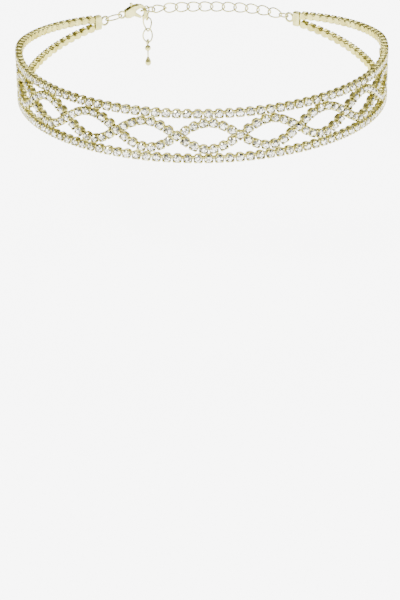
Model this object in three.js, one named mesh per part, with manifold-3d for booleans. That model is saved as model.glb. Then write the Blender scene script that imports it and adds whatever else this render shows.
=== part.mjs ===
// A rhinestone choker: two rows of stones in cups, two strands that cross between them and make a line of
// eyes, an end bar on each side, a lobster clasp, and an extender chain whose loose tail ends in a drop.
// Millimetres and degrees. The origin is the middle of the ring, +Z is up, and the front faces -Y.
import * as THREE from "three";
import { mergeVertices } from "three/addons/utils/BufferGeometryUtils.js";
import Module from "manifold-3d";

const wasm = await Module();
wasm.setup();

// The ring and its two rows
const ringRadius = 56;
const stonePitch = 3;
const backOpening = 76;
const bandHeight = 13.6;
const closingEase = 0.15;
const solderGap = 0.3;
const nestGap = 0.05;

// One cup with its stone
const cupWidth = 2.7;
const cupBackWidth = 2.2;
const cupDepth = 1.9;
const cupSetBack = 1.15;
const crownHeight = 0.45;
const tableWidth = 1.15;

// The two strands that cross
const eyes = 9;
const eyeLength = 18;
const eyeStones = 7;
const endStones = 3;

// End bars, each with a ring soldered on
const barWidth = 2.6;
const barThickness = 1.7;
const barCorner = 0.5;
const barInset = 0.4;
const ringReach = 1.4;
const ringWire = 0.7;
const ringSink = 0.15;

// Links
const linkPlay = 0.3;
const linkWire = 0.5;
const linkReach = 2.35;
const linkHalfHeight = 1.55;
const linkTwist = 0.45;
const hookedTurn = 90;
const nextTurn = 30;
const tailTurns = [95, 50, 10];
const extenderLinks = 11;
const claspJoinerReach = 2.8;
const claspJoinerHalfWidth = 1.9;
const joinerReach = 1.5;
const joinerHalfWidth = 1.5;
const chainLift = 1.8;
const chainLiftPower = 4;

// Lobster clasp
const claspThickness = 2.2;
const hookThickness = 1;
const claspEyeOffset = -4.8;
const claspEyeRadius = 1.4;
const claspEyeHole = 0.85;
const claspEyeThickness = 0.6;
const claspEyePlay = 0.45;
const claspHookReach = 3.3;
const hookInset = 0.42;
const hookWidth = 1;
const holeWidth = 3.3;
const holeHeight = 3.3;
const holeDrop = 0.5;
const tipGap = 0.25;
const leverSwing = 18;
const leverThickness = 0.8;
const leverPlay = 0.25;
const leverWidth = 0.8;
const pinRadius = 0.35;
const pinPlay = 0.2;
const thumbRise = 3;
const thumbRadius = 0.5;

// Drop at the end of the tail
const dropEyeReach = 0.75;
const dropPin = 0.5;
const beadWidth = 2;
const beadPlay = 0.15;
const beadDrop = 1.4;
const teardropWidth = 2;
const teardropLength = 3.9;
const teardropDrop = 3.8;
const dropTurn = 50;
const tailShift = 0.15;

// The teardrop's outline from its foot up: radius as a share of its width, and height as a share of its length
const teardropSection = [
  [0, 0],
  [0.3, 0.07],
  [0.5, 0.3],
  [0.42, 0.55],
];

// Shares that shape the clasp: the neck behind the eye, the spine over the pivot and the head over the hole
const neckReach = 0.75;
const neckHalf = 0.85;
const spineBelow = 0.6;
const spineAbove = 0.92;
const headHeight = 1.4;
const slotTop = 0.8;
const mouthTop = 0.5;
const pinLength = 0.9;
const thumbWaist = 0.45;
const cutThrough = 2;

// Sides of round things
const wireSides = 5;
const linkSteps = 12;
const ringSteps = 10;
const lathSides = 10;

const gold = { color: 0xd9c48a, roughness: 0.28, metalness: 1 };
const stoneSet = { color: 0xe4dcc0, roughness: 0.12, metalness: 0.6 };

const radians = THREE.MathUtils.degToRad;

// Makes one mesh from a geometry.
function piece(name, geometry, look) {
  const mesh = new THREE.Mesh(geometry, new THREE.MeshStandardMaterial(look));
  mesh.name = name;
  return mesh;
}

// A solid body that can be joined and cut, from a closed geometry.
function solid(geometry) {
  const bare = geometry.index ? geometry.toNonIndexed() : geometry.clone();
  bare.deleteAttribute("normal");
  bare.deleteAttribute("uv");
  const merged = mergeVertices(bare, 1e-4);
  return new wasm.Manifold(
    new wasm.Mesh({
      numProp: 3,
      vertProperties: merged.attributes.position.array,
      triVerts: new Uint32Array(merged.index.array),
    }),
  );
}

// Back from a solid body to a geometry.
function geometryOf(body) {
  const made = body.getMesh();
  const geometry = new THREE.BufferGeometry();
  geometry.setAttribute("position", new THREE.BufferAttribute(new Float32Array(made.vertProperties), 3));
  geometry.setIndex(new THREE.BufferAttribute(new Uint32Array(made.triVerts), 1));
  return geometry;
}

// Collects the corners and faces of one closed surface.
class Surface {
  corners = [];
  faces = [];

  add(points) {
    const first = this.corners.length;
    this.corners.push(...points);
    return points.map((_, i) => first + i);
  }

  face(...loop) {
    for (let i = 1; i + 1 < loop.length; i++) this.faces.push(loop[0], loop[i], loop[i + 1]);
  }

  geometry() {
    return new THREE.BufferGeometry().setFromPoints(this.corners).setIndex(this.faces);
  }
}

// A ring of points round the local z axis, at one height.
function circle(count, radius, height, turn, frame) {
  return Array.from({ length: count }, (_, i) => {
    const angle = turn + (i * 2 * Math.PI) / count;
    return new THREE.Vector3(radius * Math.cos(angle), radius * Math.sin(angle), height).applyMatrix4(frame);
  });
}

// Where a stone sits on the ring: x runs along its strand, y across it and z outwards.
function seat(angle, height, climb) {
  const outwards = new THREE.Vector3(Math.sin(angle), -Math.cos(angle), 0);
  const round = new THREE.Vector3(Math.cos(angle), Math.sin(angle), 0);
  const up = new THREE.Vector3(0, 0, 1);
  const along = round.clone().multiplyScalar(Math.cos(climb)).addScaledVector(up, Math.sin(climb));
  const across = up.clone().multiplyScalar(Math.cos(climb)).addScaledVector(round, -Math.sin(climb));
  const middle = outwards.clone().multiplyScalar(ringRadius).addScaledVector(up, height);
  return new THREE.Matrix4().makeBasis(along, across, outwards).setPosition(middle);
}

// A cup and its stone: eight walls, a flat back, and a crown of eight facets round a table. Wall n faces
// n eighths of a turn from the local x axis, and the walls that are named stay open for a link.
function addStone(surface, frame, openWalls) {
  const corner = Math.PI / 8;
  const front = surface.add(
    circle(8, cupWidth / 2 / Math.cos(corner), cupDepth - cupSetBack, -corner, frame),
  );
  const back = surface.add(circle(8, cupBackWidth / 2 / Math.cos(corner), -cupSetBack, -corner, frame));
  const table = surface.add(
    circle(4, tableWidth / Math.SQRT2, cupDepth - cupSetBack + crownHeight, 2 * corner, frame),
  );
  for (let wall = 0; wall < 8; wall++) {
    const next = (wall + 1) % 8;
    if (!openWalls.includes(wall)) surface.face(back[wall], back[next], front[next], front[wall]);
    if (wall % 2) surface.face(front[wall], front[next], table[(wall - 1) / 2]);
    else surface.face(front[wall], front[next], table[wall / 2], table[(wall / 2 + 3) % 4]);
  }
  surface.face(...table);
  surface.face(...back.toReversed());
  return { front, back };
}

// The link between the open walls of two cups that face each other.
function linkCups(surface, one, oneWall, two, twoWall) {
  const oneNext = (oneWall + 1) % 8;
  const twoNext = (twoWall + 1) % 8;
  surface.face(one.front[oneWall], two.front[twoNext], two.front[twoWall], one.front[oneNext]);
  surface.face(one.back[oneNext], two.back[twoWall], two.back[twoNext], one.back[oneWall]);
  surface.face(one.back[oneWall], two.back[twoNext], two.front[twoNext], one.front[oneWall]);
  surface.face(two.back[twoWall], one.back[oneNext], one.front[oneNext], two.front[twoWall]);
}

const AHEAD = 0;
const BEHIND = 4;

// A run of stones, linked one to the next. The first and last may meet a stone that is there already.
function stoneRun(surface, frames, before, after) {
  let last = before;
  frames.forEach((frame, i) => {
    const open = [];
    if (last) open.push(BEHIND);
    if (i < frames.length - 1 || after) open.push(AHEAD);
    const stone = addStone(surface, frame, open);
    if (last) linkCups(surface, last.stone ?? last, last.wall ?? AHEAD, stone, BEHIND);
    last = stone;
  });
  if (after) linkCups(surface, last, AHEAD, after.stone, after.wall);
}

// Strands between the rows. The two stones next to a crest nest between the row's stones, so the curve itself comes close to the row.
const amplitude = bandHeight / 2 - cupWidth - nestGap;

// How far along an eye each stone sits, equal lengths of strand apart, as shares of the eye's length.
function eyeShares() {
  const steps = 400;
  const lengths = [0];
  for (let i = 1; i <= steps; i++) {
    const rise = amplitude * (Math.sin((Math.PI * i) / steps) - Math.sin((Math.PI * (i - 1)) / steps));
    lengths.push(lengths[i - 1] + Math.hypot(eyeLength / steps, rise));
  }
  const shares = [];
  for (let stone = 1; stone < eyeStones; stone++) {
    const wanted = (lengths[steps] * stone) / eyeStones;
    shares.push(lengths.findIndex((length) => length >= wanted) / steps);
  }
  return shares;
}

const shares = eyeShares();
const firstCrossing = (-eyes * eyeLength) / 2;
const strandsEnd = -firstCrossing + eyeLength * shares[endStones - 1];

// The seats of one strand's stones over one eye, side +1 above the middle and -1 below it.
function strandSeats(eye, side) {
  return shares.map((share) => {
    const along = firstCrossing + (eye + share) * eyeLength;
    const height = side * amplitude * Math.sin(Math.PI * share);
    const slope = ((side * amplitude * Math.PI) / eyeLength) * Math.cos(Math.PI * share);
    return seat(along / ringRadius, height, Math.atan(slope));
  });
}

// Both strands as one soldered body. Where they cross they share one stone, open to four links.
function crossedStrands() {
  const surface = new Surface();
  const upRight = 1;
  const upLeft = 3;
  const downLeft = 5;
  const downRight = 7;
  const crossings = [];
  for (let i = 0; i <= eyes; i++) {
    const frame = seat((firstCrossing + i * eyeLength) / ringRadius, 0, 0);
    crossings.push(addStone(surface, frame, [upRight, upLeft, downLeft, downRight]));
  }
  for (const side of [1, -1]) {
    const leaving = side > 0 ? upRight : downRight;
    const arriving = side > 0 ? upLeft : downLeft;
    const lead = strandSeats(-1, side).slice(-endStones);
    stoneRun(surface, lead, null, { stone: crossings[0], wall: arriving });
    for (let eye = 0; eye < eyes; eye++) {
      const from = { stone: crossings[eye], wall: leaving };
      stoneRun(surface, strandSeats(eye, side), from, { stone: crossings[eye + 1], wall: arriving });
    }
    const trail = strandSeats(eyes, side).slice(0, endStones);
    stoneRun(surface, trail, { stone: crossings[eyes], wall: leaving }, null);
  }
  return piece("crossed_strands", surface.geometry(), stoneSet);
}

// Rows
const stonesPerRow = Math.round((2 * Math.PI * ringRadius - backOpening) / stonePitch) + 1;
const rowEnd = (((stonesPerRow - 1) / 2) * stonePitch) / ringRadius;
const closingStart = strandsEnd / ringRadius;
const closedHalf = (cupWidth + solderGap) / 2;

// A row's height: level over the strands, then closing to its neighbour at the end bar.
function rowHeight(angle) {
  const way = Math.max(0, (Math.abs(angle) - closingStart) / (rowEnd - closingStart));
  const eased = way < closingEase ? (way * way) / (2 * closingEase) : way - closingEase / 2;
  return THREE.MathUtils.lerp(bandHeight / 2, closedHalf, eased / (1 - closingEase / 2));
}

function stoneRow(name, side) {
  const surface = new Surface();
  const step = stonePitch / ringRadius;
  const frames = [];
  for (let i = 0; i < stonesPerRow; i++) {
    const angle = -rowEnd + i * step;
    const rise = rowHeight(angle + step / 2) - rowHeight(angle - step / 2);
    frames.push(seat(angle, side * rowHeight(angle), side * Math.atan(rise / stonePitch)));
  }
  stoneRun(surface, frames, null, null);
  return piece(name, surface.geometry(), stoneSet);
}

// A closed wire along a loop of points, with its section turned to face the loop's own z axis.
function wireLoop(pointAt, wire, steps) {
  const surface = new Surface();
  const rings = [];
  for (let i = 0; i < steps; i++) {
    const turn = (i * 2 * Math.PI) / steps;
    const nudge = 0.001;
    const ahead = pointAt(turn + nudge).sub(pointAt(turn - nudge)).normalize();
    const up = new THREE.Vector3(0, 0, 1);
    up.addScaledVector(ahead, -up.dot(ahead)).normalize();
    const side = ahead.clone().cross(up);
    const frame = new THREE.Matrix4().makeBasis(up, side, ahead).setPosition(pointAt(turn));
    rings.push(surface.add(circle(wireSides, wire / 2, 0, 0, frame)));
  }
  rings.forEach((ring, i) => {
    const next = rings[(i + 1) % steps];
    ring.forEach((_, j) => {
      const k = (j + 1) % wireSides;
      surface.face(ring[j], ring[k], next[k], next[j]);
    });
  });
  return surface.geometry();
}

// A link that lies in its own x y plane, with the long way along x, and lifts by twist at its corners.
function linkGeometry(reach, halfHeight, twist, wire, steps) {
  const pointAt = (turn) =>
    new THREE.Vector3(reach * Math.cos(turn), halfHeight * Math.sin(turn), twist * Math.sin(2 * turn));
  return wireLoop(pointAt, wire, steps);
}

const barHeight = 2 * (cupWidth - barInset) + solderGap;
const barAngle = rowEnd + (cupWidth / 2 + solderGap + barWidth / 2) / ringRadius;
const ringOffset = barWidth / 2 + ringReach + ringWire / 2 - ringSink;

// A plate with round corners over the ends of both rows, and a ring soldered to its far edge.
function endBar(name, side) {
  const plate = new THREE.Shape();
  const [w, h, r] = [barWidth / 2, barHeight / 2, barCorner];
  plate.moveTo(-w + r, -h);
  plate.lineTo(w - r, -h).absarc(w - r, -h + r, r, -Math.PI / 2, 0);
  plate.lineTo(w, h - r).absarc(w - r, h - r, r, 0, Math.PI / 2);
  plate.lineTo(-w + r, h).absarc(-w + r, h - r, r, Math.PI / 2, Math.PI);
  plate.lineTo(-w, -h + r).absarc(-w + r, -h + r, r, Math.PI, Math.PI * 1.5);
  const flat = new THREE.ExtrudeGeometry(plate, { depth: barThickness, bevelEnabled: false, curveSegments: 2 });
  flat.translate(0, 0, -barThickness / 2);
  const ring = linkGeometry(ringReach, ringReach, 0, ringWire, ringSteps).translate(side * ringOffset, 0, 0);
  const bar = piece(name, geometryOf(solid(flat).add(solid(ring))), gold);
  bar.applyMatrix4(seat(side * barAngle, 0, 0));
  return bar;
}

// Back chain
const claspJoinerPitch = ringReach + claspJoinerReach - (ringWire + linkWire) / 2 - linkPlay;
const joinerPitch = ringReach + joinerReach - (ringWire + linkWire) / 2 - linkPlay;
const claspEyeReach = (claspEyeRadius + claspEyeHole) / 2;
const claspEyeRim = claspEyeRadius - claspEyeHole;
const eyePitch =
  claspJoinerReach + claspEyeReach - (linkWire + claspEyeRim) / 2 - claspEyePlay - claspEyeOffset;
const hookPitch = claspHookReach + linkReach - (hookWidth + linkWire) / 2 - linkPlay - hookInset;
const linkPitch = 2 * linkReach - linkWire - linkPlay;
const lastPitch = linkReach + joinerReach - linkWire - linkPlay;

// Lengths from the left soldered ring to each piece along the back, in order.
function chainPlaces() {
  const steps = [claspJoinerPitch, eyePitch, hookPitch];
  for (let i = 0; i < extenderLinks; i++) steps.push(linkPitch);
  steps.push(lastPitch, joinerPitch);
  const places = [];
  let length = 0;
  for (const step of steps) {
    length += step;
    places.push(length);
  }
  return places;
}

const places = chainPlaces();
const chainLength = places.at(-1);
const ringSeat = new THREE.Vector3(ringOffset, 0, 0).applyMatrix4(seat(barAngle, 0, 0));

// The chain bows out between the two soldered rings in the arc that its length asks for.
function chainArc() {
  let low = 0.01;
  let high = Math.PI;
  for (let i = 0; i < 60; i++) {
    const half = (low + high) / 2;
    if ((ringSeat.x * half) / Math.sin(half) < chainLength / 2) low = half;
    else high = half;
  }
  const radius = ringSeat.x / Math.sin(low);
  return { half: low, radius, middle: ringSeat.y - radius * Math.cos(low) };
}

const arc = chainArc();

// A point on the back chain, which rises by chainLift to its middle.
function chainPoint(length) {
  const share = (2 * length) / chainLength - 1;
  const angle = arc.half * share;
  const back = arc.middle + arc.radius * Math.cos(angle);
  const lift = chainLift * (1 - Math.abs(share) ** chainLiftPower);
  return new THREE.Vector3(arc.radius * Math.sin(angle), back, lift);
}

// A place on the back chain for a piece that reaches so far back and ahead: x runs along the chain to the
// right, y is up and z faces the front.
function chainSeat(length, back, ahead) {
  const start = chainPoint(length - back);
  const along = chainPoint(length + ahead).sub(start).normalize();
  const inwards = new THREE.Vector3(along.y, -along.x, 0).normalize();
  start.addScaledVector(along, back);
  return new THREE.Matrix4().makeBasis(along, inwards.clone().cross(along), inwards).setPosition(start);
}

const linkSeat = (length) => chainSeat(length, linkReach, linkReach);

// A link of the chain, turned about its long way from lying flat on the ring.
function chainLink(name, frame, turn) {
  const link = piece(name, linkGeometry(linkReach, linkHalfHeight, linkTwist, linkWire, linkSteps), gold);
  link.applyMatrix4(frame.multiply(new THREE.Matrix4().makeRotationX(radians(turn))));
  return link;
}

// A small plain link on edge, which joins the chain to a soldered ring.
function joinerLink(name, length, reach, halfWidth) {
  const link = piece(name, linkGeometry(reach, halfWidth, 0, linkWire, ringSteps), gold);
  const frame = chainSeat(length, reach, reach);
  link.applyMatrix4(frame.multiply(new THREE.Matrix4().makeRotationX(Math.PI / 2)));
  return link;
}

// Clasp, in its own frame: x to the hook, y up, z through its thickness
const holeX = claspHookReach - hookWidth / 2 - holeWidth / 2;
const pivotX = holeX - holeWidth / 2 - leverWidth;
const bodyTop = holeHeight / 2 - holeDrop + hookWidth * headHeight;
const tipAngle = radians(-62);

// A plate cut to an outline and centred on its thickness.
function plate(shape, thickness, curveSegments = 10) {
  const made = new THREE.ExtrudeGeometry(shape, { depth: thickness, bevelEnabled: false, curveSegments });
  return solid(made.translate(0, 0, -thickness / 2));
}

function disc(x, y, radius) {
  return new THREE.Shape().absarc(x, y, radius, 0, 2 * Math.PI);
}

function polygon(points) {
  return new THREE.Shape(points.map(([x, y]) => new THREE.Vector2(x, y)));
}

// The middle of the hook's tip, where the hook's ring is cut.
function tipPoint() {
  const x = holeX + (holeWidth / 2 + hookWidth / 2) * Math.cos(tipAngle);
  const y = -holeDrop + (holeHeight / 2 + hookWidth / 2) * Math.sin(tipAngle);
  return [x, y];
}

// The hook: a spine from the eye, over the hole and round to its tip, with cheeks either side of the lever.
function claspBody() {
  const outer = new THREE.Shape();
  outer.absellipse(holeX, -holeDrop, holeWidth / 2 + hookWidth, bodyTop + holeDrop, 0, 2 * Math.PI);
  const hole = new THREE.Shape();
  hole.absellipse(holeX, -holeDrop, holeWidth / 2, holeHeight / 2, 0, 2 * Math.PI);
  const left = claspEyeOffset + claspEyeRadius * neckReach;
  const shoulder = polygon([
    [left, -claspEyeRadius * neckHalf],
    [pivotX, -bodyTop * spineBelow],
    [holeX - holeWidth / 2, -holeDrop],
    [holeX, 0],
    [holeX, bodyTop],
    [pivotX, bodyTop * spineAbove],
    [left, claspEyeRadius * neckHalf],
  ]);
  const [gateX, gateY] = tipPoint();
  const mouth = polygon([
    [pivotX - leverWidth, -bodyTop * cutThrough],
    [gateX, -bodyTop * cutThrough],
    [gateX, gateY + hookWidth],
    [holeX, -holeDrop],
    [pivotX - leverWidth, -bodyTop * mouthTop],
  ]);
  const slotEdge = pivotX - leverWidth - leverPlay;
  const swing = thumbRise * Math.sin(radians(leverSwing));
  const slot = polygon([
    [slotEdge, -bodyTop * cutThrough],
    [holeX, -bodyTop * cutThrough],
    [holeX, -holeDrop],
    [pivotX + leverWidth, bodyTop * cutThrough],
    [slotEdge - swing, bodyTop * cutThrough],
    [slotEdge - swing, bodyTop * slotTop],
    [slotEdge, 0],
  ]);
  const eye = plate(disc(claspEyeOffset, 0, claspEyeRadius), claspEyeThickness, 6);
  const body = plate(outer, hookThickness, 8)
    .add(plate(shoulder, claspThickness))
    .subtract(plate(hole, claspThickness * cutThrough, 7))
    .subtract(plate(mouth, claspThickness * cutThrough))
    .subtract(plate(slot, leverThickness + 2 * leverPlay))
    .add(plate(disc(pivotX, 0, pinRadius), claspThickness * pinLength, 5))
    .add(eye)
    .subtract(plate(disc(claspEyeOffset, 0, claspEyeHole), claspThickness * cutThrough, 5));
  return geometryOf(body);
}

// The lever: a gate along the bottom of the hole and a thumb piece above the spine, round a pin. The gate
// is short enough to swing past the inside of the hook's tip.
function claspLever() {
  const [tipX, tipY] = tipPoint();
  const inner = new THREE.Vector2(tipX - pivotX, tipY + hookWidth / 2);
  const length = Math.sqrt((inner.length() - tipGap) ** 2 - (leverWidth / 2) ** 2);
  const middle = new THREE.Vector2(tipX - pivotX, tipY).normalize();
  const side = new THREE.Vector2(-middle.y, middle.x);
  const gatePoint = (along, across) => [
    pivotX + middle.x * along + side.x * across,
    middle.y * along + side.y * across,
  ];
  const gate = polygon([
    gatePoint(0, -leverWidth),
    gatePoint(length, -leverWidth / 2),
    gatePoint(length, leverWidth / 2),
    gatePoint(0, leverWidth),
  ]);
  const thumb = polygon([
    [pivotX - leverWidth * thumbWaist, 0],
    [pivotX + leverWidth * thumbWaist, 0],
    [pivotX + thumbRadius / 2, thumbRise],
    [pivotX - thumbRadius / 2, thumbRise],
  ]);
  const body = plate(disc(pivotX, 0, leverWidth), leverThickness, 5)
    .add(plate(gate, leverThickness))
    .add(plate(thumb, leverThickness))
    .add(plate(disc(pivotX, thumbRise, thumbRadius), leverThickness, 5))
    .subtract(plate(disc(pivotX, 0, pinRadius + pinPlay), leverThickness * cutThrough, 5));
  return geometryOf(body);
}

function clasp() {
  const parts = [piece("clasp_body", claspBody(), gold), piece("clasp_lever", claspLever(), gold)];
  for (const part of parts) part.applyMatrix4(chainSeat(places[1], -claspEyeOffset, claspHookReach));
  return parts;
}

// The drop: an eye, a pin down through the bead, and a teardrop at its foot
function tailDrop() {
  const eye = linkGeometry(dropEyeReach, dropEyeReach, 0, dropPin, ringSteps);
  const pinTop = -dropEyeReach;
  const foot = pinTop - teardropDrop - teardropLength;
  const outline = [
    ...teardropSection.map(([wide, high]) => [teardropWidth * wide, foot + teardropLength * high]),
    [dropPin / 2, pinTop - teardropDrop],
    [dropPin / 2, pinTop],
    [0, pinTop],
  ];
  const lath = new THREE.LatheGeometry(outline.map(([x, y]) => new THREE.Vector2(x, y)), lathSides);
  return piece("tail_drop", geometryOf(solid(eye).add(solid(lath))), gold);
}

// A drilled bead on the drop's pin.
function tailBead() {
  const bore = dropPin / 2 + beadPlay;
  const half = Math.sqrt((beadWidth / 2) ** 2 - bore ** 2);
  const middle = -dropEyeReach - beadDrop;
  const outline = [];
  const steps = 4;
  for (let i = 0; i <= steps; i++) {
    const y = half * (1 - (2 * i) / steps);
    outline.push(new THREE.Vector2(Math.sqrt((beadWidth / 2) ** 2 - y * y), middle - y));
  }
  outline.push(outline[0].clone());
  return piece("tail_bead", new THREE.LatheGeometry(outline, lathSides), gold);
}

// The loose tail hangs straight down from the outer side of the link that the hook holds.
function tail() {
  const parts = [];
  const up = new THREE.Vector3(0, 0, 1);
  const inwards = new THREE.Vector3();
  linkSeat(places[2]).extractBasis(new THREE.Vector3(), new THREE.Vector3(), inwards);
  const wire = new THREE.Vector3(tailShift, 0, -linkHalfHeight).applyMatrix4(linkSeat(places[2]));
  const hang = new THREE.Matrix4().makeBasis(up.clone().cross(inwards), up, inwards).setPosition(wire);
  let depth = linkWire + linkPlay - linkReach;
  const at = () => hang.clone().multiply(new THREE.Matrix4().makeTranslation(0, depth, 0));
  tailTurns.forEach((turn, i) => {
    const downwards = at().multiply(new THREE.Matrix4().makeRotationZ(-Math.PI / 2));
    parts.push(chainLink("tail_link_" + (i + 1), downwards, turn));
    depth -= linkPitch;
  });
  depth += linkPitch - (linkReach + dropEyeReach - (linkWire + dropPin) / 2 - linkPlay);
  for (const part of [tailDrop(), tailBead()]) {
    part.applyMatrix4(at().multiply(new THREE.Matrix4().makeRotationY(radians(dropTurn))));
    parts.push(part);
  }
  return parts;
}

const choker = new THREE.Group();
choker.add(stoneRow("top_row", 1));
choker.add(stoneRow("bottom_row", -1));
choker.add(crossedStrands());
choker.add(endBar("end_bar_left", -1));
choker.add(endBar("end_bar_right", 1));
choker.add(joinerLink("clasp_joiner", places[0], claspJoinerReach, claspJoinerHalfWidth));
choker.add(...clasp());
choker.add(chainLink("hooked_link", linkSeat(places[2]), hookedTurn));
for (let i = 0; i < extenderLinks; i++) {
  choker.add(chainLink("extender_link_" + (i + 1), linkSeat(places[3 + i]), i ? 0 : nextTurn));
}
choker.add(joinerLink("extender_joiner", places.at(-2), joinerReach, joinerHalfWidth));
choker.add(...tail());

export default choker;
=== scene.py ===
import math

import bpy
import numpy as np
from mathutils import Matrix, Vector


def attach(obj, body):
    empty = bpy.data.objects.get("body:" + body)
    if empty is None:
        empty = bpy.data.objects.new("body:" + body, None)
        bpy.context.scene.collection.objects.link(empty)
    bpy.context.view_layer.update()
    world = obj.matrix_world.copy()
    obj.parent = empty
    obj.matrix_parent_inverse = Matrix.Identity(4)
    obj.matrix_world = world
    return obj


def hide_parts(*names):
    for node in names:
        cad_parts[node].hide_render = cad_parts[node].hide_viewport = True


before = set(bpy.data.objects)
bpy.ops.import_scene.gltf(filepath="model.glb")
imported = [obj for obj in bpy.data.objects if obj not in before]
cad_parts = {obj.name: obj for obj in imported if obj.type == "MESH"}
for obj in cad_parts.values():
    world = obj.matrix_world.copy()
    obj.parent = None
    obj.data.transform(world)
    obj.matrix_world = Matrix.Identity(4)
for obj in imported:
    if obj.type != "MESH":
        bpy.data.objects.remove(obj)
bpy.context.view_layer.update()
rng = np.random.default_rng(7)

# The looks of a rhinestone choker. Cups, bars, links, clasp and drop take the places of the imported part's
# solids and keep their forms, and the stones are set into the cups. The origin is the middle of the ring,
# +Z is up and the front faces -Y. Sizes are millimetres, which make() turns into metres, and angles are
# degrees, unless a comment says otherwise.
MM = 0.001

# The ring and its two rows
RING_RADIUS = 56.0
STONE_PITCH = 3.0
ROW_STONES = 93
BAND_HEIGHT = 13.6
CLOSING_EASE = 0.15
SOLDER_GAP = 0.3
NEST_GAP = 0.05
CUP_WIDTH = 2.7
STONE_WOBBLE = 1.2

# The two strands that cross
EYES = 9
EYE_LENGTH = 18.0
EYE_STONES = 7
END_STONES = 3

# End bars, each with a ring soldered on by a lug
BAR_WIDTH = 2.6
BAR_THICKNESS = 1.7
BAR_INSET = 0.4
RING_REACH = 1.4
RING_WIRE = 0.7
RING_SINK = 0.15
LUG_HALVES = (0.42, 0.62, 0.4)

# Links
LINK_PLAY = 0.3
LINK_WIRE = 0.5
LINK_REACH = 2.35
LINK_HALF_HEIGHT = 1.55
LINK_TWIST = 0.45
HOOKED_TURN = 90
NEXT_TURN = 30
TAIL_TURNS = (95, 50, 10)
EXTENDER_LINKS = 11
CLASP_JOINER_REACH = 2.8
CLASP_JOINER_HALF_WIDTH = 1.9
JOINER_REACH = 1.5
JOINER_HALF_WIDTH = 1.5
CHAIN_LIFT = 1.8
CHAIN_LIFT_POWER = 4

# Lobster clasp
CLASP_THICKNESS = 2.2
HOOK_THICKNESS = 1.0
EYE_OFFSET = -4.8
EYE_RADIUS = 1.4
EYE_HOLE = 0.85
EYE_THICKNESS = 0.6
EYE_PLAY = 0.45
HOOK_REACH = 3.3
HOOK_INSET = 0.42
HOOK_WIDTH = 1.0
HOLE_WIDTH = 3.3
HOLE_HEIGHT = 3.3
HOLE_DROP = 0.5
TIP_ANGLE = -62
TIP_GAP = 0.25
LEVER = 0.8
LEVER_PLAY = 0.25
LEVER_SWING = 18
PIN_RADIUS = 0.35
PIN_LENGTH = 2.16
PIN_PLAY = 0.2
THUMB_RISE = 3.0
THUMB_RADIUS = 0.5

# Shares that shape the clasp: the neck behind the eye, the spine over the pivot and the head over the hole
NECK_REACH = 0.75
NECK_HALF = 0.85
SPINE_BELOW = 0.6
SPINE_ABOVE = 0.92
HEAD_HEIGHT = 1.4
SLOT_TOP = 0.8
MOUTH_TOP = 0.5
THUMB_WAIST = 0.45
CUT_THROUGH = 2

# Drop at the end of the tail
DROP_EYE = 0.75
DROP_PIN = 0.5
BEAD = 2.0
BEAD_PLAY = 0.15
BEAD_DROP = 1.4
TEAR_WIDTH = 2.0
TEAR_LENGTH = 3.9
TEAR_DROP = 3.8
TEAR_FOOT = 0.05
TEAR_COLLAR = 0.05
DROP_TURN = 50
TAIL_SHIFT = 0.15

# The teardrop's outline is half a sine wave. The first power moves its belly down and the second slims it,
# and over its neck it is as wide as the pin.
BELLY_POWER = 0.6
SLIM_POWER = 1.15
NECK_SHARE = 0.9

# Cup and stone are drawn for a cup of this width, then widened. Their own z points out of the band.
DRAWN_CUP = 2.6
CUP_BACK = -1.15
CUP_FLOOR = -0.15
CUP_SIDES = 32
CUP_SQUARENESS = 3
RIM_DIP = 0.54
RIM_RISE = 0.26
RIM_POWER = 1.6

# The cup's wall from its back to its inside: radius, height, and 1 where the height is over the rim
CUP_WALL = (
    (0.75, -1.14, 0),
    (1.0, -1.12, 0),
    (1.08, -1.02, 0),
    (1.14, -0.6, 0),
    (1.25, 0, 0),
    (1.32, -0.07, 1),
    (1.29, 0, 1),
    (1.17, -0.01, 1),
    (1.14, -0.12, 1),
    (1.0, 0.05, 0),
)

# A prong from the wall to its tip: radius, height, half width, half thickness
PRONG = (
    (1.38, 0.35, 0.38, 0.06),
    (1.45, 0.65, 0.36, 0.065),
    (1.42, 0.93, 0.33, 0.07),
    (1.28, 1.1, 0.29, 0.075),
    (1.08, 1.12, 0.24, 0.07),
    (0.88, 1.0, 0.15, 0.045),
)

# A stone's levels: radius, height, corners, and the share of a corner that they are turned by
STONE_LEVELS = {
    "table": (0.62, 1.08, 8, 0),
    "kites": (0.88, 0.94, 8, 0.5),
    "girdle": (1.12, 0.7, 16, 0),
    "below": (1.12, 0.62, 16, 0),
    "inner": (0.32, 1.055, 8, 0.5),
}
STONE_MIDDLE = 1.03
STONE_FOOT = -0.1

# The bar between two cups, from the wall to its waist: distance from the cup, half width, half height
BRIDGE_FLARE = ((1.0, 0.62, 0.55), (1.15, 0.6, 0.52), (1.35, 0.54, 0.45))
BRIDGE_WAIST = (0.5, 0.42)
BRIDGE_DEPTH = -0.5


# Places, as 4 by 4 matrices
def unit(v):
    return v / np.linalg.norm(v)


def frame_of(x, y, z, at):
    m = np.eye(4)
    m[:3, 0], m[:3, 1], m[:3, 2], m[:3, 3] = x, y, z, at
    return m


def shift(x, y, z):
    return frame_of(*np.eye(3), (x, y, z))


def turn(axis, degrees):
    return np.array(Matrix.Rotation(math.radians(degrees), 4, axis))


def moved(part, m):
    verts, tris = part
    return verts @ m[:3, :3].T + m[:3, 3], tris


def seat(angle, height, climb):
    """Where a stone sits: x runs along its strand, y across it and z outwards. Both angles are in radians."""
    s, c = math.sin(angle), math.cos(angle)
    out, rnd, up = np.array([s, -c, 0]), np.array([c, s, 0]), np.array([0, 0, 1.0])
    along = rnd * math.cos(climb) + up * math.sin(climb)
    across = up * math.cos(climb) - rnd * math.sin(climb)
    return frame_of(along, across, out, out * RING_RADIUS + up * height)


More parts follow.
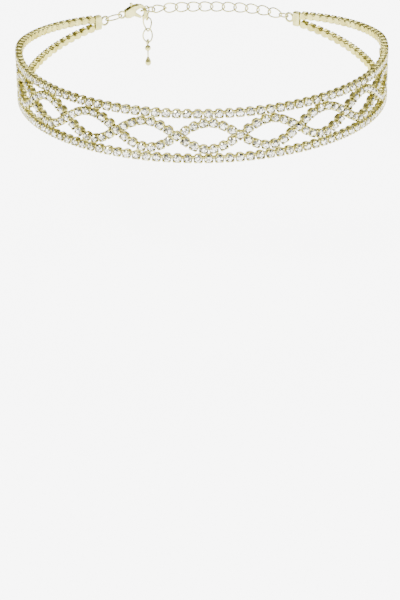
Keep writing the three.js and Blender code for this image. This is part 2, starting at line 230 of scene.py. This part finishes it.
# What the rows and strands follow from
amplitude = BAND_HEIGHT / 2 - CUP_WIDTH - NEST_GAP
first_crossing = -EYES * EYE_LENGTH / 2


def eye_shares():
    """Where an eye's stones lie, as shares of its length, at even steps along its curve."""
    samples = 400
    t = np.linspace(0, 1, samples + 1)
    steps = np.hypot(EYE_LENGTH / samples, np.diff(amplitude * np.sin(np.pi * t)))
    lengths = np.concatenate([[0], np.cumsum(steps)])
    return [np.argmax(lengths >= lengths[-1] * k / EYE_STONES) / samples for k in range(1, EYE_STONES)]


shares = eye_shares()
strands_end = -first_crossing + EYE_LENGTH * shares[END_STONES - 1]
row_end = (ROW_STONES - 1) / 2 * STONE_PITCH / RING_RADIUS
closing_start = strands_end / RING_RADIUS
closed_half = (CUP_WIDTH + SOLDER_GAP) / 2


def row_height(angle):
    """A row's height over the middle of the band. Behind the strands the two rows close on each other."""
    way = max(0.0, (abs(angle) - closing_start) / (row_end - closing_start))
    eased = way * way / (2 * CLOSING_EASE) if way < CLOSING_EASE else way - CLOSING_EASE / 2
    share = eased / (1 - CLOSING_EASE / 2)
    return BAND_HEIGHT / 2 + (closed_half - BAND_HEIGHT / 2) * share


def row_seats(side):
    step = STONE_PITCH / RING_RADIUS
    seats = []
    for i in range(ROW_STONES):
        a = -row_end + i * step
        rise = row_height(a + step / 2) - row_height(a - step / 2)
        seats.append(seat(a, side * row_height(a), side * math.atan(rise / STONE_PITCH)))
    return seats


def strand_seats(eye, side):
    seats = []
    for share in shares:
        along = first_crossing + (eye + share) * EYE_LENGTH
        slope = side * amplitude * math.pi / EYE_LENGTH * math.cos(math.pi * share)
        height = side * amplitude * math.sin(math.pi * share)
        seats.append(seat(along / RING_RADIUS, height, math.atan(slope)))
    return seats


# Surfaces, as (corners, triangles)
def joined(parts):
    starts = np.cumsum([0] + [len(v) for v, _ in parts[:-1]])
    tris = [t + start for (_, t), start in zip(parts, starts)]
    return np.concatenate([v for v, _ in parts]), np.concatenate(tris)


def grid(rows, round_rows=False, first=None, last=None):
    """A surface through rings of points. It closes round each ring, and over its ends at first and last."""
    rows = np.asarray(rows, float)
    n, m = rows.shape[:2]
    i = (np.arange(n if round_rows else n - 1) * m)[:, None]
    j = np.arange(m)
    k = (j + 1) % m
    up = (i + m) % (n * m)
    a, b, c, d = i + j, i + k, up + k, up + j
    tris = [np.stack([a, b, c], -1).reshape(-1, 3), np.stack([a, c, d], -1).reshape(-1, 3)]
    verts = [rows.reshape(-1, 3)]
    count = n * m
    for pole, ring, flip in ((first, 0, True), (last, (n - 1) * m, False)):
        if pole is not None:
            verts.append(np.array([pole], float))
            fan = [np.full(m, count), ring + (k if flip else j), ring + (j if flip else k)]
            tris.append(np.stack(fan, -1))
            count += 1
    return np.concatenate(verts), np.concatenate(tris)


def sweep(path, sides_axis, half_width, half_height, corners=10, power=1.0, closed=False):
    """A bar along path. Its width lies along sides_axis, one vector for each point or one for all."""
    path = np.asarray(path, float)
    if closed:
        ahead = np.roll(path, -1, 0) - np.roll(path, 1, 0)
    else:
        ahead = np.gradient(path, axis=0)
    ahead /= np.linalg.norm(ahead, axis=1)[:, None]
    wide = np.broadcast_to(np.asarray(sides_axis, float), path.shape)
    wide = wide - (wide * ahead).sum(1)[:, None] * ahead
    wide /= np.linalg.norm(wide, axis=1)[:, None]
    high = np.cross(ahead, wide)
    phi = np.arange(corners) * 2 * np.pi / corners + np.pi / corners
    cos, sin = np.cos(phi), np.sin(phi)
    cos, sin = np.sign(cos) * abs(cos) ** power, np.sign(sin) * abs(sin) ** power
    w = np.broadcast_to(half_width, len(path))[:, None, None]
    h = np.broadcast_to(half_height, len(path))[:, None, None]
    rows = path[:, None] + wide[:, None] * cos[None, :, None] * w + high[:, None] * sin[None, :, None] * h
    if closed:
        return grid(rows, round_rows=True)
    return grid(rows, first=path[0], last=path[-1])


def lathe(profile, hollow=False, sides=32):
    """A turned body round the local y axis, from (radius, y) pairs. A solid one's pairs run up its outside,
    and a hollow one's run round its section."""
    phi = np.arange(sides) * 2 * np.pi / sides
    rows = [[(r * math.cos(a), y, -r * math.sin(a)) for a in phi] for r, y in profile]
    if hollow:
        return grid(rows, round_rows=True)
    return grid(rows, first=(0, profile[0][1], 0), last=(0, profile[-1][1], 0))


def ring_wire(reach, half_height, twist, wire, steps=44, sides=14):
    t = np.arange(steps) * 2 * np.pi / steps
    path = np.stack([reach * np.cos(t), half_height * np.sin(t), twist * np.sin(2 * t)], -1)
    return sweep(path, (0, 0, 1), wire / 2, wire / 2, corners=sides, closed=True)


def pillow(half_x, half_y, half_z, power=0.28, steps=20, rows=12):
    """A block with soft edges."""

    def soft(v):
        return np.sign(v) * abs(v) ** power

    omega = np.arange(4 * steps) * np.pi / (2 * steps)
    made = []
    for eta in np.linspace(-np.pi / 2, np.pi / 2, rows + 2)[1:-1]:
        flat = soft(math.cos(eta))
        x = half_x * flat * soft(np.cos(omega))
        y = half_y * flat * soft(np.sin(omega))
        z = np.full(len(omega), half_z * soft(math.sin(eta)))
        made.append(np.stack([x, y, z], -1))
    return grid(made, first=(0, 0, -half_z), last=(0, 0, half_z))


def cup():
    """One cup: a turned shell, a little square, whose rim dips between four prongs."""
    phi = np.arange(CUP_SIDES) * 2 * np.pi / CUP_SIDES
    cos, sin = np.cos(phi), np.sin(phi)
    rim = RIM_DIP + RIM_RISE * abs(np.sin(2 * phi)) ** RIM_POWER
    square = (abs(cos) ** CUP_SQUARENESS + abs(sin) ** CUP_SQUARENESS) ** (-1 / CUP_SQUARENESS)
    rows = []
    for radius, height, over_rim in CUP_WALL:
        rows.append(np.stack([radius * square * cos, radius * square * sin, height + over_rim * rim], -1))
    parts = [grid(rows, first=(0, 0, CUP_BACK), last=(0, 0, CUP_FLOOR))]
    radius, height, half_width, half_thickness = np.array(PRONG).T
    for k in range(4):
        a = math.pi / 4 + k * math.pi / 2
        out = np.array([math.cos(a), math.sin(a), 0])
        side = np.array([-math.sin(a), math.cos(a), 0])
        line = radius[:, None] * out + height[:, None] * np.array([0, 0, 1.0])
        parts.append(sweep(line, side, half_width, half_thickness, corners=8, power=0.7))
    return joined(parts)


def stone():
    """One stone: a table that sinks a little, stars, kites and girdle facets round it, and a point below."""
    levels, starts, count = [], [], 0
    for radius, height, corners, turned in STONE_LEVELS.values():
        a = (np.arange(corners) + turned) * 2 * np.pi / corners
        levels.append(np.stack([radius * np.cos(a), radius * np.sin(a), np.full(corners, height)], -1))
        starts.append(count)
        count += corners
    verts = np.concatenate(levels + [[[0, 0, STONE_MIDDLE], [0, 0, STONE_FOOT]]])
    table, kites, girdle, below, inner = starts
    middle, foot = count, count + 1
    tris = []
    for i in range(8):
        j, h = (i + 1) % 8, (i - 1) % 8
        t, after = table + i, table + j
        g0, g1, g2 = girdle + 2 * i, girdle + 2 * i + 1, girdle + (2 * i + 2) % 16
        tris += [(t, kites + i, after), (t, kites + h, g0), (t, g0, kites + i)]
        tris += [(kites + i, g0, g1), (kites + i, g1, g2)]
        tris += [(t, after, inner + i), (t, inner + i, inner + h), (middle, inner + h, inner + i)]
    for i in range(16):
        j = (i + 1) % 16
        tris += [(below + i, below + j, girdle + j), (below + i, girdle + j, girdle + i)]
        tris += [(foot, below + j, below + i)]
    return verts, np.array(tris)


def bridge(one, two):
    """The bar between two cups, low on their walls."""
    a, b = (m[:3, 3] + m[:3, 2] * BRIDGE_DEPTH for m in (one, two))
    ahead = unit(b - a)
    side = np.cross(unit(one[:3, 2] + two[:3, 2]), ahead)
    span = np.linalg.norm(b - a)
    reach, half_width, half_height = np.array(BRIDGE_FLARE).T
    waist_width, waist_height = BRIDGE_WAIST
    stops = np.concatenate([reach, [span / 2], span - reach[::-1]])
    half_width = np.concatenate([half_width, [waist_width], half_width[::-1]])
    half_height = np.concatenate([half_height, [waist_height], half_height[::-1]])
    return sweep(a + stops[:, None] * ahead, side, half_width, half_height, power=0.6)


def make(name, part, material, nodes=(), body="root", flat=False, sharp=None):
    """A piece that rides on a body and takes the place of some nodes. Edges over sharp degrees stay hard."""
    verts, tris = part
    mesh = bpy.data.meshes.new(name)
    mesh.from_pydata((verts * MM).tolist(), [], tris.tolist())
    mesh.validate()
    if flat:
        mesh.shade_flat()
    else:
        mesh.shade_smooth()
    if sharp:
        mesh.set_sharp_from_angle(angle=math.radians(sharp))
    mesh.materials.append(material)
    obj = bpy.data.objects.new(name, mesh)
    bpy.context.scene.collection.objects.link(obj)
    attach(obj, body)
    if nodes:
        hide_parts(*nodes)


# Materials. The gold's tints are a light and a deep one, and its scales are in cells a metre. The scales of
# the stones' painted reflections, one shade to each of their facets, and of their polish are in cells along a
# normal of length 1.
SHEEN_TINT = (0.75, 0.68, 0.4, 1)
TINT_SCALE = 260
RUB_SCALE = 900
GRAIN_SCALE = 4200
PAINTED_REFLECTION_SCALE = 23
POLISH_SCALE = 31
CUP_TINTS = ((0.445, 0.415, 0.145), (0.255, 0.22, 0.055))
CAST_TINTS = ((0.45, 0.425, 0.175), (0.27, 0.25, 0.08))
# Painted reflections: the stones' facets get dark, grey or bright base colours that stand in for the light
# and shade that real foiled stones reflect.
DARK_FACET_PAINTED_REFLECTION = (0.06, 0.056, 0.038)
GREY_FACET_PAINTED_REFLECTION = (0.32, 0.315, 0.24)
BRIGHT_FACET_PAINTED_REFLECTION = (0.84, 0.84, 0.78)
FOIL_TINT = (0.4, 0.37, 0.26, 1)


def new_material(name):
    material = bpy.data.materials.new(name)
    material.use_nodes = True
    tree = material.node_tree
    return material, tree, tree.nodes["Principled BSDF"]


def noise(tree, source, scale, detail=3.0, rough=0.5):
    node = tree.nodes.new("ShaderNodeTexNoise")
    node.inputs["Scale"].default_value = scale
    node.inputs["Detail"].default_value = detail
    node.inputs["Roughness"].default_value = rough
    tree.links.new(source, node.inputs["Vector"])
    return node.outputs["Fac"]


def ramp(tree, source, stops):
    """Colours or greys between stops, pairs of a place from 0 to 1 and a colour or one number."""
    node = tree.nodes.new("ShaderNodeValToRGB")
    while len(node.color_ramp.elements) < len(stops):
        node.color_ramp.elements.new(0.5)
    for element, (at, colour) in zip(node.color_ramp.elements, stops):
        element.position = at
        element.color = (*colour, 1) if hasattr(colour, "__len__") else (colour, colour, colour, 1)
    tree.links.new(source, node.inputs["Fac"])
    return node.outputs["Color"]


def gold(name, tints, polished, dull, grain):
    """Plated metal: its tint drifts, and rubbed places are smoother than the rest."""
    light, deep = tints
    material, tree, shader = new_material(name)
    place = tree.nodes.new("ShaderNodeTexCoord").outputs["Object"]
    shader.inputs["Metallic"].default_value = 1
    shader.inputs["Specular Tint"].default_value = SHEEN_TINT
    tint = ramp(tree, noise(tree, place, TINT_SCALE, 4, 0.6), [(0.35, deep), (0.62, light)])
    tree.links.new(tint, shader.inputs["Base Color"])
    rubbed = ramp(tree, noise(tree, place, RUB_SCALE, 5, 0.65), [(0.3, polished), (0.7, dull)])
    tree.links.new(rubbed, shader.inputs["Roughness"])
    bump = tree.nodes.new("ShaderNodeBump")
    bump.inputs["Strength"].default_value = 0.35
    bump.inputs["Distance"].default_value = grain
    tree.links.new(noise(tree, place, GRAIN_SCALE, 4, 0.7), bump.inputs["Height"])
    tree.links.new(bump.outputs["Normal"], shader.inputs["Normal"])
    return material


def crystal(name):
    """Foiled glass with real foil reflections, and on each face a painted reflection, dark, grey or bright by
    the way it faces, and its own polish.
    """
    material, tree, shader = new_material(name)
    facing = tree.nodes.new("ShaderNodeNewGeometry").outputs["True Normal"]
    # Painted reflection: noise of the way each face points gives it a dark, grey or bright base colour in
    # place of the shade and glints of real facets.
    painted_glint = noise(tree, facing, PAINTED_REFLECTION_SCALE, 0, 0)
    colour = ramp(tree, painted_glint, [(0.42, DARK_FACET_PAINTED_REFLECTION), (0.51, GREY_FACET_PAINTED_REFLECTION), (0.61, BRIGHT_FACET_PAINTED_REFLECTION)])
    tree.links.new(colour, shader.inputs["Base Color"])
    rough = ramp(tree, noise(tree, facing, POLISH_SCALE, 0, 0), [(0.35, 0.04), (0.65, 0.16)])
    tree.links.new(rough, shader.inputs["Roughness"])
    shader.inputs["Metallic"].default_value = 0.9
    shader.inputs["Specular Tint"].default_value = FOIL_TINT
    shader.inputs["Coat Weight"].default_value = 0.12
    shader.inputs["Coat Roughness"].default_value = 0.02
    shader.inputs["Coat IOR"].default_value = 1.6
    return material


cup_gold = gold("cup_gold", CUP_TINTS, polished=0.18, dull=0.36, grain=0.00003)
chain_gold = gold("chain_gold", CAST_TINTS, polished=0.15, dull=0.3, grain=0.00002)
clasp_gold = gold("clasp_gold", CAST_TINTS, polished=0.16, dull=0.34, grain=0.00004)
stone_glass_painted_reflections = crystal("stone_glass_painted_reflections")


def make_metal(name, part, material, body="root", sharp=None):
    """A metal piece in the place of the node with its name."""
    make(name, part, material, [name], body=body, sharp=sharp)


# Rows and strands
wider = np.diag([CUP_WIDTH / DRAWN_CUP, CUP_WIDTH / DRAWN_CUP, 1, 1])
one_cup, one_stone = moved(cup(), wider), moved(stone(), wider)


def set_stone(m):
    tilt = turn("X", rng.normal(0, STONE_WOBBLE)) @ turn("Y", rng.normal(0, STONE_WOBBLE))
    return moved(one_stone, m @ tilt @ turn("Z", rng.uniform(0, 45)))


def chain_of(name, seats, links, turned=()):
    """Stones in cups at these seats, with a bridge for each link. Cups in turned stand on a corner."""
    parts = [moved(one_cup, m @ turn("Z", 45) if i in turned else m) for i, m in enumerate(seats)]
    parts += [bridge(seats[a], seats[b]) for a, b in links]
    stones = [set_stone(m) for m in seats]
    make(name + "_cups", joined(parts), cup_gold, [name], sharp=42)
    make(name + "_stones", joined(stones), stone_glass_painted_reflections, flat=True)


for side, row in ((1, "top_row"), (-1, "bottom_row")):
    chain_of(row, row_seats(side), [(i, i + 1) for i in range(ROW_STONES - 1)])

seats = [seat((first_crossing + i * EYE_LENGTH) / RING_RADIUS, 0, 0) for i in range(EYES + 1)]
links = []
for side in (1, -1):
    runs = [(None, strand_seats(-1, side)[-END_STONES:], 0)]
    runs += [(eye, strand_seats(eye, side), eye + 1) for eye in range(EYES)]
    runs += [(EYES, strand_seats(EYES, side)[:END_STONES], None)]
    for start, run, end in runs:
        ids = list(range(len(seats), len(seats) + len(run)))
        seats += run
        order = [start] * (start is not None) + ids + [end] * (end is not None)
        links += list(zip(order, order[1:]))
chain_of("crossed_strands", seats, links, turned=range(EYES + 1))

# End bars
bar_height = 2 * (CUP_WIDTH - BAR_INSET) + SOLDER_GAP
bar_angle = row_end + (CUP_WIDTH / 2 + SOLDER_GAP + BAR_WIDTH / 2) / RING_RADIUS
ring_offset = BAR_WIDTH / 2 + RING_REACH + RING_WIRE / 2 - RING_SINK
for side, name in ((-1, "end_bar_left"), (1, "end_bar_right")):
    ring = ring_wire(RING_REACH, RING_REACH, 0, RING_WIRE)
    lug = pillow(*LUG_HALVES, power=0.8, steps=8, rows=8)
    parts = [
        pillow(BAR_WIDTH / 2, bar_height / 2, BAR_THICKNESS / 2),
        moved(ring, shift(side * ring_offset, 0, 0)),
        moved(lug, shift(side * BAR_WIDTH / 2, 0, 0)),
    ]
    make_metal(name, moved(joined(parts), seat(side * bar_angle, 0, 0)), clasp_gold)

# Back chain: an arc of the chain's length between the two rings, lifted in its middle
clasp_joiner_pitch = RING_REACH + CLASP_JOINER_REACH - (RING_WIRE + LINK_WIRE) / 2 - LINK_PLAY
joiner_pitch = RING_REACH + JOINER_REACH - (RING_WIRE + LINK_WIRE) / 2 - LINK_PLAY
eye_reach = (EYE_RADIUS + EYE_HOLE) / 2
eye_rim = EYE_RADIUS - EYE_HOLE
eye_pitch = CLASP_JOINER_REACH + eye_reach - (LINK_WIRE + eye_rim) / 2 - EYE_PLAY - EYE_OFFSET
hook_pitch = HOOK_REACH + LINK_REACH - (HOOK_WIDTH + LINK_WIRE) / 2 - LINK_PLAY - HOOK_INSET
link_pitch = 2 * LINK_REACH - LINK_WIRE - LINK_PLAY
last_pitch = LINK_REACH + JOINER_REACH - LINK_WIRE - LINK_PLAY
pitches = [clasp_joiner_pitch, eye_pitch, hook_pitch]
pitches += [link_pitch] * EXTENDER_LINKS
pitches += [last_pitch, joiner_pitch]
places = np.cumsum(pitches)
chain_length = places[-1]
ring_place = (seat(bar_angle, 0, 0) @ np.array([ring_offset, 0, 0, 1]))[:3]


def arc_half_angle(half_chord, length):
    """Half the angle, in radians, of the arc that has this length over this half chord."""
    low, high = 0.01, math.pi
    for _ in range(60):
        half = (low + high) / 2
        if half_chord * half / math.sin(half) < length / 2:
            low = half
        else:
            high = half
    return low


half_angle = arc_half_angle(ring_place[0], chain_length)
arc_radius = ring_place[0] / math.sin(half_angle)
arc_middle = ring_place[1] - arc_radius * math.cos(half_angle)


def chain_point(length):
    share = 2 * length / chain_length - 1
    a = half_angle * share
    lift = CHAIN_LIFT * (1 - abs(share) ** CHAIN_LIFT_POWER)
    return np.array([arc_radius * math.sin(a), arc_middle + arc_radius * math.cos(a), lift])


def chain_seat(length, back, ahead):
    """The place of a piece that reaches this far back and ahead: x along the chain, z to the middle."""
    start = chain_point(length - back)
    along = unit(chain_point(length + ahead) - start)
    inwards = unit(np.array([along[1], -along[0], 0]))
    return frame_of(along, np.cross(inwards, along), inwards, start + along * back)


def link_seat(length):
    return chain_seat(length, LINK_REACH, LINK_REACH)


def chain_link(name, m, degrees):
    link = ring_wire(LINK_REACH, LINK_HALF_HEIGHT, LINK_TWIST, LINK_WIRE)
    make_metal(name, moved(link, m @ turn("X", degrees)), chain_gold)


joiners = (
    ("clasp_joiner", places[0], CLASP_JOINER_REACH, CLASP_JOINER_HALF_WIDTH),
    ("extender_joiner", places[-2], JOINER_REACH, JOINER_HALF_WIDTH),
)
for name, at, reach, half_width in joiners:
    link = ring_wire(reach, half_width, 0, LINK_WIRE)
    make_metal(name, moved(link, chain_seat(at, reach, reach) @ turn("X", 90)), chain_gold)
chain_link("hooked_link", link_seat(places[2]), HOOKED_TURN)
for i in range(EXTENDER_LINKS):
    chain_link(f"extender_link_{i + 1}", link_seat(places[3 + i]), 0 if i else NEXT_TURN)

# Tail: it hangs from the lowest wire of the hooked link
hooked = link_seat(places[2])
inwards, up = hooked[:3, 2], np.array([0, 0, 1.0])
wire = (hooked @ np.array([TAIL_SHIFT, 0, -LINK_HALF_HEIGHT, 1]))[:3]
hang = frame_of(np.cross(up, inwards), up, inwards, wire)
height = LINK_WIRE + LINK_PLAY - LINK_REACH
for i, degrees in enumerate(TAIL_TURNS):
    chain_link(f"tail_link_{i + 1}", hang @ shift(0, height, 0) @ turn("Z", -90), degrees)
    height -= link_pitch
height += link_pitch - (LINK_REACH + DROP_EYE - (LINK_WIRE + DROP_PIN) / 2 - LINK_PLAY)
drop_frame = hang @ shift(0, height, 0) @ turn("Y", DROP_TURN)


def teardrop(steps=26):
    """The teardrop with the pin that it hangs on, from its foot up."""
    top = -DROP_EYE - TEAR_DROP
    rows = []
    for s in np.linspace(0.02, 1, steps):
        belly = math.sin(math.pi * s**BELLY_POWER) ** SLIM_POWER * TEAR_WIDTH / 2
        least = DROP_PIN / 2 if s > NECK_SHARE else TEAR_FOOT
        rows.append((max(belly, least), top - TEAR_LENGTH * (1 - s)))
    rows += [(DROP_PIN / 2, top + TEAR_COLLAR), (DROP_PIN / 2, -DROP_EYE)]
    return lathe(rows)


def bead(steps=24):
    """A round bead with a straight bore."""
    bore = DROP_PIN / 2 + BEAD_PLAY
    end = math.asin(bore / (BEAD / 2))
    arc = np.linspace(math.pi - end, end, steps)
    outside = [(BEAD / 2 * math.sin(a), BEAD / 2 * math.cos(a)) for a in arc]
    return lathe(outside + [(bore, outside[-1][1]), (bore, outside[0][1])], hollow=True)


drop = joined([ring_wire(DROP_EYE, DROP_EYE, 0, DROP_PIN), teardrop()])
make_metal("tail_drop", moved(drop, drop_frame), clasp_gold)
make_metal("tail_bead", moved(bead(), drop_frame @ shift(0, -DROP_EYE - BEAD_DROP, 0)), clasp_gold, sharp=50)

# Clasp, in its own frame: x to the hook, y up, z through its thickness
hole_x = HOOK_REACH - HOOK_WIDTH / 2 - HOLE_WIDTH / 2
pivot_x = hole_x - HOLE_WIDTH / 2 - LEVER
body_top = HOLE_HEIGHT / 2 - HOLE_DROP + HOOK_WIDTH * HEAD_HEIGHT
tip_angle = math.radians(TIP_ANGLE)
tip_x = hole_x + (HOLE_WIDTH / 2 + HOOK_WIDTH / 2) * math.cos(tip_angle)
tip_y = -HOLE_DROP + (HOLE_HEIGHT / 2 + HOOK_WIDTH / 2) * math.sin(tip_angle)
plates = []


def plate(outline, thickness):
    n, half = len(outline), thickness / 2
    verts = [(x, y, -half) for x, y in outline] + [(x, y, half) for x, y in outline]
    faces = [tuple(reversed(range(n))), tuple(range(n, 2 * n))]
    faces += [(i, (i + 1) % n, (i + 1) % n + n, i + n) for i in range(n)]
    mesh = bpy.data.meshes.new("plate")
    mesh.from_pydata(verts, [], faces)
    obj = bpy.data.objects.new("plate", mesh)
    bpy.context.scene.collection.objects.link(obj)
    plates.append(obj)
    return obj


def oval(x, y, rx, ry=None, count=56):
    ry = rx if ry is None else ry
    return [(x + rx * math.cos(a), y + ry * math.sin(a)) for a in np.arange(count) * 2 * math.pi / count]


def cast(base, steps, voxel=0.06, rounds=14):
    """A surface from plates that are joined and cut in turn, with its edges rounded as a casting's are."""
    for kind, other in steps:
        cut = base.modifiers.new(kind, "BOOLEAN")
        cut.operation, cut.solver, cut.object = kind, "EXACT", other
    even = base.modifiers.new("even", "REMESH")
    even.mode, even.voxel_size, even.adaptivity = "VOXEL", voxel, 0
    soften = base.modifiers.new("soften", "SMOOTH")
    soften.factor, soften.iterations = 0.5, rounds
    bpy.context.view_layer.update()
    graph = bpy.context.evaluated_depsgraph_get()
    mesh = bpy.data.meshes.new_from_object(base.evaluated_get(graph))
    mesh.calc_loop_triangles()
    verts = np.zeros(len(mesh.vertices) * 3)
    mesh.vertices.foreach_get("co", verts)
    tris = np.zeros(len(mesh.loop_triangles) * 3, np.int32)
    mesh.loop_triangles.foreach_get("vertices", tris)
    bpy.data.meshes.remove(mesh)
    return verts.reshape(-1, 3), tris.reshape(-1, 3)


# The clasp's body
left = EYE_OFFSET + EYE_RADIUS * NECK_REACH
far = body_top * CUT_THROUGH
shoulder = [
    (left, -EYE_RADIUS * NECK_HALF),
    (pivot_x, -body_top * SPINE_BELOW),
    (hole_x - HOLE_WIDTH / 2, -HOLE_DROP),
    (hole_x, 0),
    (hole_x, body_top),
    (pivot_x, body_top * SPINE_ABOVE),
    (left, EYE_RADIUS * NECK_HALF),
]
mouth = [
    (pivot_x - LEVER, -far),
    (tip_x, -far),
    (tip_x, tip_y + HOOK_WIDTH),
    (hole_x, -HOLE_DROP),
    (pivot_x - LEVER, -body_top * MOUTH_TOP),
]
slot_edge = pivot_x - LEVER - LEVER_PLAY
thumb_room = THUMB_RISE * math.sin(math.radians(LEVER_SWING))
slot_cut = [
    (slot_edge, -far),
    (hole_x, -far),
    (hole_x, -HOLE_DROP),
    (pivot_x + LEVER, far),
    (slot_edge - thumb_room, far),
    (slot_edge - thumb_room, body_top * SLOT_TOP),
    (slot_edge, 0),
]
cut_depth = CLASP_THICKNESS * CUT_THROUGH
head = oval(hole_x, -HOLE_DROP, HOLE_WIDTH / 2 + HOOK_WIDTH, body_top + HOLE_DROP)
clasp_body = cast(
    plate(head, HOOK_THICKNESS),
    [
        ("UNION", plate(shoulder, CLASP_THICKNESS)),
        ("DIFFERENCE", plate(oval(hole_x, -HOLE_DROP, HOLE_WIDTH / 2, HOLE_HEIGHT / 2), cut_depth)),
        ("DIFFERENCE", plate(mouth, cut_depth)),
        ("DIFFERENCE", plate(slot_cut, LEVER + 2 * LEVER_PLAY)),
        ("UNION", plate(oval(pivot_x, 0, PIN_RADIUS), PIN_LENGTH)),
        ("UNION", plate(oval(EYE_OFFSET, 0, EYE_RADIUS), EYE_THICKNESS)),
        ("DIFFERENCE", plate(oval(EYE_OFFSET, 0, EYE_HOLE), cut_depth)),
    ],
)

# The clasp's lever: a gate from the pivot to just short of the hook's tip, and a thumb piece
inner = np.array([tip_x - pivot_x, tip_y + HOOK_WIDTH / 2])
gate_length = math.sqrt((np.linalg.norm(inner) - TIP_GAP) ** 2 - (LEVER / 2) ** 2)
middle = unit(np.array([tip_x - pivot_x, tip_y]))
across = np.array([-middle[1], middle[0]])
gate_corners = ((0, -LEVER), (gate_length, -LEVER / 2), (gate_length, LEVER / 2), (0, LEVER))
gate = [tuple(np.array([pivot_x, 0]) + middle * along + across * off) for along, off in gate_corners]
thumb = [
    (pivot_x - LEVER * THUMB_WAIST, 0),
    (pivot_x + LEVER * THUMB_WAIST, 0),
    (pivot_x + THUMB_RADIUS / 2, THUMB_RISE),
    (pivot_x - THUMB_RADIUS / 2, THUMB_RISE),
]
clasp_lever = cast(
    plate(oval(pivot_x, 0, LEVER), LEVER),
    [
        ("UNION", plate(gate, LEVER)),
        ("UNION", plate(thumb, LEVER)),
        ("UNION", plate(oval(pivot_x, THUMB_RISE, THUMB_RADIUS), LEVER)),
        ("DIFFERENCE", plate(oval(pivot_x, 0, PIN_RADIUS + PIN_PLAY), LEVER * CUT_THROUGH)),
    ],
    rounds=8,
)
for obj in plates:
    bpy.data.meshes.remove(obj.data)
clasp_frame = chain_seat(places[1], -EYE_OFFSET, HOOK_REACH)
make_metal("clasp_body", moved(clasp_body, clasp_frame), clasp_gold)
make_metal("clasp_lever", moved(clasp_lever, clasp_frame), clasp_gold, body="lever")

# Floor and light, in metres
FLOOR_HEIGHT = -0.05
FLOOR_REACH = 20.0
FLOOR_GLOW = 6.0
SOFTBOXES = (
    # name, place, size, power
    ("key", (-0.6, -0.7, 0.9), 0.5, 16),
    ("fill", (0.8, -0.5, 0.5), 0.4, 7),
    ("rim", (0.1, 0.9, 0.8), 0.5, 9),
)
floor_mesh = bpy.data.meshes.new("floor")
corners = [(x * FLOOR_REACH, y * FLOOR_REACH, FLOOR_HEIGHT) for x, y in ((-1, -1), (1, -1), (1, 1), (-1, 1))]
floor_mesh.from_pydata(corners, [], [(0, 1, 2, 3)])
floor = bpy.data.objects.new("floor", floor_mesh)
bpy.context.scene.collection.objects.link(floor)
material, tree, shader = new_material("floor_white")
place = tree.nodes.new("ShaderNodeTexCoord").outputs["Object"]
white = ramp(tree, noise(tree, place, 6), [(0.3, 0.93), (0.7, 0.96)])
tree.links.new(white, shader.inputs["Base Color"])
shader.inputs["Roughness"].default_value = 0.8
shader.inputs["Emission Color"].default_value = (1, 1, 1, 1)
shader.inputs["Emission Strength"].default_value = FLOOR_GLOW
floor_mesh.materials.append(material)

for name, at, size, power in SOFTBOXES:
    light = bpy.data.lights.new(name, "AREA")
    light.shape, light.size, light.energy = "DISK", size, power
    softbox = bpy.data.objects.new(name, light)
    softbox.location = at
    softbox.rotation_euler = (-Vector(at)).to_track_quat("-Z", "Y").to_euler()
    bpy.context.scene.collection.objects.link(softbox)

# The room is bright all round and dimmer overhead
world = bpy.data.worlds.new("studio")
bpy.context.scene.world = world
world.use_nodes = True
tree = world.node_tree
direction = tree.nodes.new("ShaderNodeTexCoord").outputs["Generated"]
split = tree.nodes.new("ShaderNodeSeparateXYZ")
tree.links.new(direction, split.inputs[0])
shade = ramp(tree, split.outputs["Z"], [(0.0, 0.9), (0.2, 0.9), (0.6, 0.5)])
tree.links.new(shade, tree.nodes["Background"].inputs["Color"])
tree.nodes["Background"].inputs["Strength"].default_value = 1.0

# Camera: where the photo was taken from, found from the rows' pitch and outlines, in metres and radians. It
# stands at CAMERA_DISTANCE from the ring's middle, CAMERA_RISE above its plane and CAMERA_YAW stones round
# from its front, and looks CAMERA_TILT down and CAMERA_PAN aside. The focal length is in points of the photo.
CAMERA_DISTANCE = 0.6295
CAMERA_RISE = 0.349
CAMERA_YAW = 0.565
CAMERA_TILT = 0.4629
CAMERA_PAN = -0.0023
CAMERA_ROLL = -0.0105
FOCAL_POINTS = 2026.7
PHOTO_HEIGHT = 600
SENSOR = 36
spin = Matrix.Rotation(-CAMERA_YAW * STONE_PITCH / RING_RADIUS, 3, "Z")
away, above = CAMERA_DISTANCE * math.cos(CAMERA_RISE), CAMERA_DISTANCE * math.sin(CAMERA_RISE)
position = spin @ Vector((0, -away, above))
level = math.cos(CAMERA_TILT)
ahead = spin @ Vector((math.sin(CAMERA_PAN) * level, math.cos(CAMERA_PAN) * level, -math.sin(CAMERA_TILT)))
camera_data = bpy.data.cameras.new("camera")
camera_data.sensor_width = SENSOR
camera_data.lens = FOCAL_POINTS / PHOTO_HEIGHT * SENSOR
camera_data.clip_start, camera_data.clip_end = 0.01, 20
camera = bpy.data.objects.new("camera", camera_data)
bpy.context.scene.collection.objects.link(camera)
aim = ahead.to_track_quat("-Z", "Y").to_matrix() @ Matrix.Rotation(CAMERA_ROLL, 3, "Z")
camera.matrix_world = Matrix.Translation(position) @ aim.to_4x4()
bpy.context.scene.camera = camera
